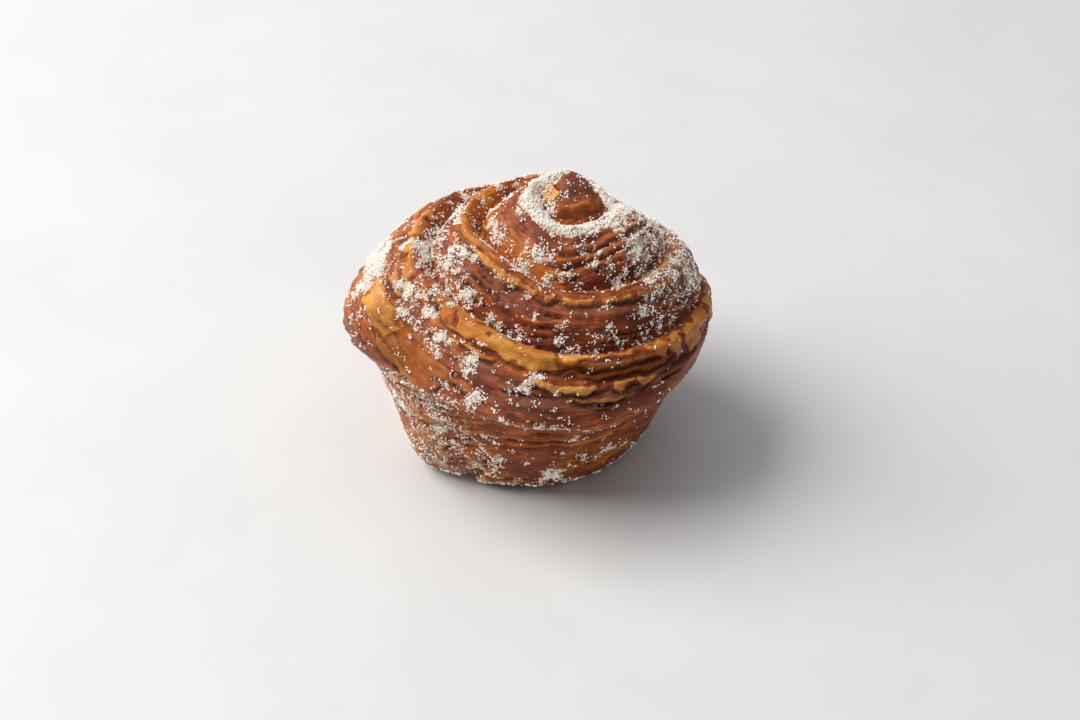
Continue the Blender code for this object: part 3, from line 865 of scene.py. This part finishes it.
def onePointEnds(grid):
    # the grid's values in the order of the mesh's points
    flat = grid[1:-1].reshape((-1,) + grid.shape[2:])
    return np.concatenate([grid[:1].mean(axis=1), flat, grid[-1:].mean(axis=1)])


def addObject(name, data, material=None):
    piece = bpy.data.objects.new(name, data)
    bpy.context.scene.collection.objects.link(piece)
    if material:
        data.materials.append(material)
    return piece


def addPointValues(mesh, name, values):
    attribute = mesh.attributes.new(name, "FLOAT", "POINT")
    attribute.data.foreach_set("value", np.ascontiguousarray(values, np.float32))


# Shader helpers


def put(tree, kind, inputs=None, **settings):
    # a node with its settings, and each input linked to a socket or set to a value
    node = tree.nodes.new("ShaderNode" + kind)
    for key, value in settings.items():
        setattr(node, key, value)
    for key, value in (inputs or {}).items():
        if isinstance(value, bpy.types.NodeSocket):
            tree.links.new(value, node.inputs[key])
        else:
            node.inputs[key].default_value = value
    return node


def maths(tree, operation, a, b=0.0, c=0.0):
    return put(tree, "Math", {0: a, 1: b, 2: c}, operation=operation).outputs[0]


def times(tree, a, b):
    return maths(tree, "MULTIPLY", a, b)


def smooth(tree, value, low, high, first=0.0, last=1.0):
    inputs = {0: value, 1: low, 2: high, 3: first, 4: last}
    return put(tree, "MapRange", inputs, interpolation_type="SMOOTHSTEP").outputs[0]


def mixed(tree, share, a, b, blend="MIX"):
    a, b = (value if isinstance(value, bpy.types.NodeSocket) else (*value, 1.0) for value in (a, b))
    return put(tree, "Mix", {0: share, 6: a, 7: b}, data_type="RGBA", blend_type=blend).outputs[2]


def attribute(tree, name):
    return put(tree, "Attribute", attribute_name=name).outputs["Fac"]


def mottle(tree, size, low, high):
    # cloudy patches of a size in mm, and the same as fine grain
    place = put(tree, "TexCoord").outputs["Object"]
    clouds = []
    for scale, detail in ((1000 / size, 3.0), (6000 / size, 2.0)):
        inputs = {"Vector": place, "Scale": scale, "Detail": detail, "Roughness": 0.6}
        clouds.append(smooth(tree, put(tree, "TexNoise", inputs).outputs[0], low, high))
    return clouds


def lamination(tree, level, step, run, line):
    # streaks and thin dark lines along the dough's layers; level is the distance across them, in metres
    place = put(tree, "TexCoord").outputs["Object"]
    scaled = put(tree, "VectorMath", {0: place, "Scale": 1000 / run}, operation="SCALE").outputs[0]
    across = times(tree, level, 1000 / step)
    inputs = {"Vector": scaled, "W": across, "Scale": 1.0, "Detail": 2.0, "Roughness": 0.55}
    streaks = put(tree, "TexNoise", inputs, noise_dimensions="4D").outputs[0]
    away = maths(tree, "ABSOLUTE", maths(tree, "SUBTRACT", streaks, 0.5))
    return smooth(tree, streaks, 0.35, 0.65), smooth(tree, away, 0.0, line, 1.0, 0.0)


crustColours = {
    # painted shade, near black, in the slits and under the flakes
    "paintedShadeBlack": (0.026, 0.007, 0.004),
    "darkBrown": (0.120, 0.020, 0.005),
    "redBrown": (0.315, 0.053, 0.007),
    "orangeBrown": (0.575, 0.150, 0.011),
    "goldenBrown": (0.780, 0.290, 0.030),
    # dark browning lightened by a painted sheen, the sky's reflection on the glossy crust
    "sheenPurpleBrown": (0.270, 0.085, 0.047),
    "paleGold": (0.850, 0.400, 0.075),
    "deepGold": (0.560, 0.155, 0.014),
    "ochre": (0.380, 0.115, 0.009),
    "dust": (0.900, 0.760, 0.600),
}


def newMaterial(name, settings):
    material = bpy.data.materials.new(name)
    material.use_nodes = True
    tree = material.node_tree
    shader = tree.nodes["Principled BSDF"]
    for title, value in settings.items():
        shader.inputs[title].default_value = value
    return material, tree, shader


# The crust's look. A layer texture is given by its step and run in mm and its line's width, and a cloud
# by its size in mm and the values at which it starts and is full. The masks are made from these and from
# the values at the mesh's points. Each colour lies over those before it, by a mask and a share.
crustLook = {
    "shader": {"Specular IOR Level": 0.25, "Coat Weight": 0.10, "Coat Roughness": 0.28, "Coat IOR": 1.45},
    "values": ("level", "golden", "pale", "scorchAndSheen", "slit", "edge", "tone", "warmthAndShade", "dust"),
    "layers": (("broad", 2.6, 12.0, 0.018), ("fine", 0.8, 5.0, 0.022), ("hair", 0.35, 2.2, 0.03)),
    "clouds": (("blotch", 6.0, 0.36, 0.64), ("freckle", 1.6, 0.42, 0.66), ("crystals", 0.7, 0.35, 0.65)),
    "masks": (
        ("faintLines", "sum", ("fineLines", 0.6)),
        ("lines", "MAXIMUM", "broadLines", "faintLines"),
        ("lamina", "sum", ("fine", 0.14), ("broad", 0.18), ("blotch", 0.26), ("tone", 0.12),
         ("warmthAndShade", 0.26), ("edge", 0.36), ("hair", 0.17)),
        ("red", "smooth", "lamina", 0.02, 0.34),
        ("orange", "smooth", "lamina", 0.30, 0.66),
        ("yellow", "smooth", "lamina", 0.66, 0.95),
        ("streaked", "smooth", "fine", 0.0, 1.0, 1.0, 0.70),
        ("rim", "MULTIPLY", "scorchAndSheen", "streaked"),
        ("torn", "sum", ("golden", 1.0), ("freckleGrain", 0.30)),
        ("flake", "smooth", "torn", 0.50, 0.72),
        ("cloudy", "sum", ("blotch", 0.35), ("broad", 0.35), ("pale", 0.6)),
        ("light", "smooth", "cloudy", 0.20, 1.10),
        ("dull", "smooth", "pale", -0.35, 0.05, 1.0, 0.0),
        ("dullStreaks", "MULTIPLY", "dull", "broad"),
        ("specks", "smooth", "freckleGrain", 0.75, 1.0),
        ("dustSum", "sum", ("dust", 1.0), ("crystals", 0.55)),
        ("dustPatches", "smooth", "dustSum", 0.45, 1.0),
        ("dustCover", "smooth", "dust", 0.02, 0.30, 0.0, 0.92),
        ("dusty", "MULTIPLY", "dustPatches", "dustCover"),
        ("dustyCrystals", "MULTIPLY", "dusty", "crystals"),
        ("layerHeight", "sum", ("lines", -0.8), ("fine", 0.40), ("hair", 0.25)),
        ("offFlakes", "smooth", "flake", 0.0, 1.0, 1.0, 0.35),
        ("layered", "MULTIPLY", "layerHeight", "offFlakes"),
        ("height", "sum", ("layered", 1.0), ("freckleGrain", 0.30), ("dustyCrystals", 1.2)),
    ),
    # the rims take the purple-brown with its painted sheen
    "browns": (("red", 1.0, "redBrown"), ("orange", 1.0, "orangeBrown"), ("yellow", 1.0, "goldenBrown"),
               ("rim", 1.0, "sheenPurpleBrown"), ("lines", 0.30, "darkBrown")),
    "golds": (("light", 1.0, "paleGold"), ("freckle", 0.35, "ochre"), ("dull", 0.85, "ochre"),
              ("dullStreaks", 1.0, "redBrown"), ("fineLines", 0.30, "orangeBrown")),
    # the slits and the lines under the flakes get near-black painted shade
    "top": (("slit", 0.78, "paintedShadeBlack"), ("specks", 0.35, "darkBrown"), ("dusty", 1.0, "dust")),
    "rough": 0.31,
    "rougher": (("fine", 0.12), ("flake", 0.06), ("slit", 0.25), ("dusty", 0.35)),
    "bump": {"Strength": 0.75, "Distance": 0.0003},
}


def weighted(tree, masks, shares, start=0.0):
    # the start with each named mask added by its share
    total = start
    for name, share in shares:
        total = maths(tree, "MULTIPLY_ADD", masks[name], share, total)
    return total


def layered(tree, masks, colour, layers):
    # each layer's colour over those before it
    for name, share, over in layers:
        colour = mixed(tree, times(tree, masks[name], share), colour, crustColours[over])
    return colour


def crustMasks(tree):
    look = crustLook
    masks = {name: attribute(tree, name) for name in look["values"]}
    for name, *given in look["layers"]:
        masks[name], masks[name + "Lines"] = lamination(tree, masks["level"], *given)
    for name, *given in look["clouds"]:
        masks[name], masks[name + "Grain"] = mottle(tree, *given)
    for name, kind, *given in look["masks"]:
        if kind == "sum":
            masks[name] = weighted(tree, masks, given)
        elif kind == "smooth":
            masks[name] = smooth(tree, masks[given[0]], *given[1:])
        else:
            masks[name] = maths(tree, kind, *(masks[source] for source in given))
    return masks


def linkAll(tree, shader, made):
    for title, socket in made.items():
        tree.links.new(socket, shader.inputs[title])


def crustMaterial():
    look = crustLook
    material, tree, shader = newMaterial("bakedCrust", look["shader"])
    masks = crustMasks(tree)
    brown = layered(tree, masks, crustColours["darkBrown"], look["browns"])
    gold = layered(tree, masks, crustColours["deepGold"], look["golds"])
    crust = layered(tree, masks, mixed(tree, masks["flake"], brown, gold), look["top"])
    made = {"Base Color": crust, "Roughness": weighted(tree, masks, look["rougher"], look["rough"]),
            "Normal": put(tree, "Bump", {"Height": masks["height"], **look["bump"]}).outputs[0]}
    linkAll(tree, shader, made)
    return material


# The sugar's look. Its emission is painted light: each grain glows a little in its own colour, more the
# clearer it is, standing in for light that shines through the crystals.
sugarLook = {
    "shader": {"Specular IOR Level": 0.6, "Subsurface Weight": 1.0, "Subsurface Scale": 0.0004,
               "Subsurface Radius": (1.0, 1.0, 1.0)},
    "honey": (0.97, 0.82, 0.62),
    "clear": (1.0, 0.95, 0.87),
    "cloudy": (1.0, 0.97, 0.91),
    "cloudiness": 0.4,
    "clouds": (0.5, 0.35, 0.65),
    "paintedGlow": (0.35, 1.0, 0.01, 0.20),
    "rough": (0.0, 1.0, 0.08, 0.32),
    "bump": {"Strength": 0.35, "Distance": 0.00004},
}


def sugarMaterial():
    look = sugarLook
    material, tree, shader = newMaterial("sugarCrystal", look["shader"])
    grainToneAndGlow = attribute(tree, "grainToneAndGlow")
    patches, grain = mottle(tree, *look["clouds"])
    clear = mixed(tree, grainToneAndGlow, look["honey"], look["clear"])
    colour = mixed(tree, times(tree, patches, look["cloudiness"]), clear, look["cloudy"])
    # the emission is painted light, set by the grain's tone
    made = {"Base Color": colour, "Emission Color": colour,
            "Normal": put(tree, "Bump", {"Height": grain, **look["bump"]}).outputs[0],
            "Emission Strength": smooth(tree, grainToneAndGlow, *look["paintedGlow"]),
            "Roughness": smooth(tree, grain, *look["rough"])}
    linkAll(tree, shader, made)
    return material


# The bun's crust

surface["scorchAndSheen"] = scorchAndSheenOf(surface)
surface["warmthAndShade"] = warmthAndShadeOf(surface)
surface["sugar"] = sugarOf(surface)
surface["dust"] = dustOf(surface)
crustPoints = onePointEnds(surface["points"])
crustMesh = bpy.data.meshes.new("bunCrust")
crustMesh.from_pydata(crustPoints.tolist(), [], gridFaces(*surface["level"].shape))
for name in crustLook["values"]:
    addPointValues(crustMesh, name, onePointEnds(surface[name]))
crustMesh.shade_smooth()
bunCrust = addObject("bunCrust", crustMesh, crustMaterial())
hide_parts("bun")
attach(bunCrust, "root")
print("Built the crust:", len(crustMesh.polygons), "faces")


# The sugar


def sampled(grid, row, column):
    # the grid's value between its points
    low = np.clip(np.floor(row).astype(int), 0, grid.shape[0] - 2)
    first = np.floor(column).astype(int)
    v, u = (row - low)[..., None], (column - first)[..., None]
    first = first % grid.shape[1]
    after = (first + 1) % grid.shape[1]
    return (grid[low, first] * (1 - u) + grid[low, after] * u) * (1 - v) + (
        grid[low + 1, first] * (1 - u) + grid[low + 1, after] * u) * v


def pickPlaces(s, draw):
    # clumps at random over the crust, as many as its density of sugar calls for, and their grains
    p = s["points"]
    a, b, c, d = p[:-1], np.roll(p[:-1], -1, axis=1), np.roll(p[1:], -1, axis=1), p[1:]
    area = 0.5 * np.linalg.norm(np.cross(c - a, d - b), axis=-1) * 1e6
    kinds, shares = zip(*sugarForm["clumps"])
    meanSize = np.dot(kinds, shares)
    count = draw.poisson(area * s["sugar"][:-1] / meanSize)
    row, column = (np.repeat(v.ravel(), count.ravel()) for v in np.indices(count.shape))
    size = draw.choice(kinds, len(row), p=shares)
    rowStep = np.linalg.norm(d - a, axis=-1)[row, column]
    columnStep = np.linalg.norm(b - a, axis=-1)[row, column]
    row, column = row + draw.random(len(row)), column + draw.random(len(column))
    each = (row, column, rowStep, columnStep, size)
    row, column, rowStep, columnStep, size = (np.repeat(v, size) for v in each)
    off = draw.normal(size=(2, len(row)))
    spread = sugarForm["spread"] * np.sqrt(size - 0.9)
    row = np.clip(row + off[0] * spread / rowStep, 0, p.shape[0] - 1.001)
    column = column + off[1] * spread / np.maximum(columnStep, 1e-5)
    heap = sugarForm["heap"] * (np.cbrt(size) - 1) * np.exp(-(off ** 2).sum(axis=0) / 2)
    heap = heap * draw.random(len(row))
    values = [sampled(grid, row, column) for grid in (p, s["normals"], s["dome"][..., None])]
    return values[0], values[1], values[2][:, 0], heap


def turnsOf(count, draw):
    # random turns in space, from random quaternions
    q = draw.normal(size=(count, 4))
    w, x, y, z = (q / np.linalg.norm(q, axis=1, keepdims=True)).T
    rows = [[1 - 2 * (y * y + z * z), 2 * (x * y - z * w), 2 * (x * z + y * w)],
            [2 * (x * y + z * w), 1 - 2 * (x * x + z * z), 2 * (y * z - x * w)],
            [2 * (x * z - y * w), 2 * (y * z + x * w), 1 - 2 * (x * x + y * y)]]
    return np.array(rows).transpose(2, 0, 1)


def grainMesh(name, centres, sizes, turns, grainTonesAndGlow):
    corners = np.array(list(itertools.product((-0.5, 0.5), repeat=3)))
    sides = np.array([(0, 1, 3, 2), (4, 6, 7, 5), (0, 4, 5, 1), (2, 3, 7, 6), (0, 2, 6, 4), (1, 5, 7, 3)])
    points = centres[:, None] + np.einsum("nij,nkj->nki", turns, corners[None] * sizes[:, None])
    faces = (sides[None] + 8 * np.arange(len(centres))[:, None, None]).reshape(-1, 4)
    mesh = bpy.data.meshes.new(name)
    mesh.from_pydata(points.reshape(-1, 3).tolist(), [], faces.tolist())
    addPointValues(mesh, "grainToneAndGlow", np.repeat(grainTonesAndGlow, 8))
    return mesh


draw = np.random.default_rng(sugarForm["seed"])
place, away, dome, heap = pickPlaces(surface, draw)
length = draw.uniform(sugarForm["smallest"], sugarForm["largest"], len(place))
sizes = length[:, None] * draw.uniform(sugarForm["thinnest"], 1.0, (len(place), 3))
centres = place + away * (sugarForm["bedded"] * length + heap)[:, None]
lowest, highest = centres - 0.5 * length[:, None], centres + 0.5 * length[:, None]
inside = (lowest > cadBox[0]).all(axis=1) & (highest < cadBox[1]).all(axis=1)
turns = turnsOf(len(place), draw)
# each grain's tone, which sets its colour and its painted glow
grainTonesAndGlow = draw.random(len(place)) ** 0.7
sugar = sugarMaterial()
# where each piece of sugar lies, by share of the way from the knob
pieces = (("sugarCrown", 0, 0.40), ("sugarShoulder", 0.40, 0.66), ("sugarLip", 0.66, 1.0),
          ("sugarSides", 1.0, 9))
for name, first, last in pieces:
    chosen = np.flatnonzero((dome >= first) & (dome < last) & inside)
    print(name, len(chosen), "grains")
    chosen = draw.permutation(chosen)[:sugarForm["mostPerPiece"]]
    mesh = grainMesh(name, centres[chosen], sizes[chosen], turns[chosen], grainTonesAndGlow[chosen])
    grains = addObject(name, mesh, sugar)
    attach(grains, "root")


# The floor, the lights and the camera

stageForm = {
    "floorSize": 3.0,
    "floorColour": (0.69, 0.685, 0.68),
    "floorShade": 0.96,
    "floorClouds": (60.0, 0.3, 0.7),
    "worldColour": (0.93, 0.95, 1.0),
    "worldStrength": 0.16,
    "key": ((-0.98, 0.22, 0.98), 1.25, 31.0, (1.0, 0.985, 0.96)),
    "fill": ((0.50, -0.70, 0.90), 1.0, 0.6, (0.97, 0.98, 1.0)),
    "sky": ((0.10, 0.35, 1.10), 1.6, 4.8, (0.96, 0.98, 1.0)),
    "aim": (0.0033, -0.0009, 0.0200),
    "elevation": 38,
    "distance": 0.459,
    "lens": (60, 36),  # focal length and film width in mm
    "nearest": 0.01,
}


def floorMaterial():
    material, tree, shader = newMaterial("paleFloor", {"Roughness": 0.45, "Specular IOR Level": 0.4})
    patches = mottle(tree, *stageForm["floorClouds"])[0]
    colour = stageForm["floorColour"]
    darker = tuple(stageForm["floorShade"] * value for value in colour)
    linkAll(tree, shader, {"Base Color": mixed(tree, patches, darker, colour)})
    return material


def addFloor():
    half = stageForm["floorSize"] / 2
    mesh = bpy.data.meshes.new("floor")
    corners = [(x * half, y * half, -0.00005) for x, y in ((-1, -1), (1, -1), (1, 1), (-1, 1))]
    mesh.from_pydata(corners, [], [(0, 1, 2, 3)])
    addObject("floor", mesh, floorMaterial())


def addLight(name, place, size, power, colour):
    light = bpy.data.lights.new(name, "AREA")
    light.size, light.energy, light.color = size, power, colour
    lamp = addObject(name, light)
    lamp.location = place
    lamp.rotation_euler = (-Vector(place)).to_track_quat("-Z", "Y").to_euler()


def addCamera():
    form = stageForm
    elevation = radians(form["elevation"])
    back = Vector((0, -math.cos(elevation), math.sin(elevation)))
    camera = addObject("camera", bpy.data.cameras.new("camera"))
    camera.data.lens, camera.data.sensor_width = form["lens"]
    camera.data.clip_start = form["nearest"]
    camera.location = Vector(form["aim"]) + back * form["distance"]
    camera.rotation_euler = (-back).to_track_quat("-Z", "Y").to_euler()
    bpy.context.scene.camera = camera


def addWorld():
    world = bpy.data.worlds.new("softLight")
    world.use_nodes = True
    background = world.node_tree.nodes["Background"]
    background.inputs["Color"].default_value = (*stageForm["worldColour"], 1.0)
    background.inputs["Strength"].default_value = stageForm["worldStrength"]
    bpy.context.scene.world = world


addFloor()
for name in ("key", "fill", "sky"):
    addLight(name, *stageForm[name])
addWorld()
addCamera()
bpy.context.scene.view_settings.view_transform = "Standard"
print("Set the stage")
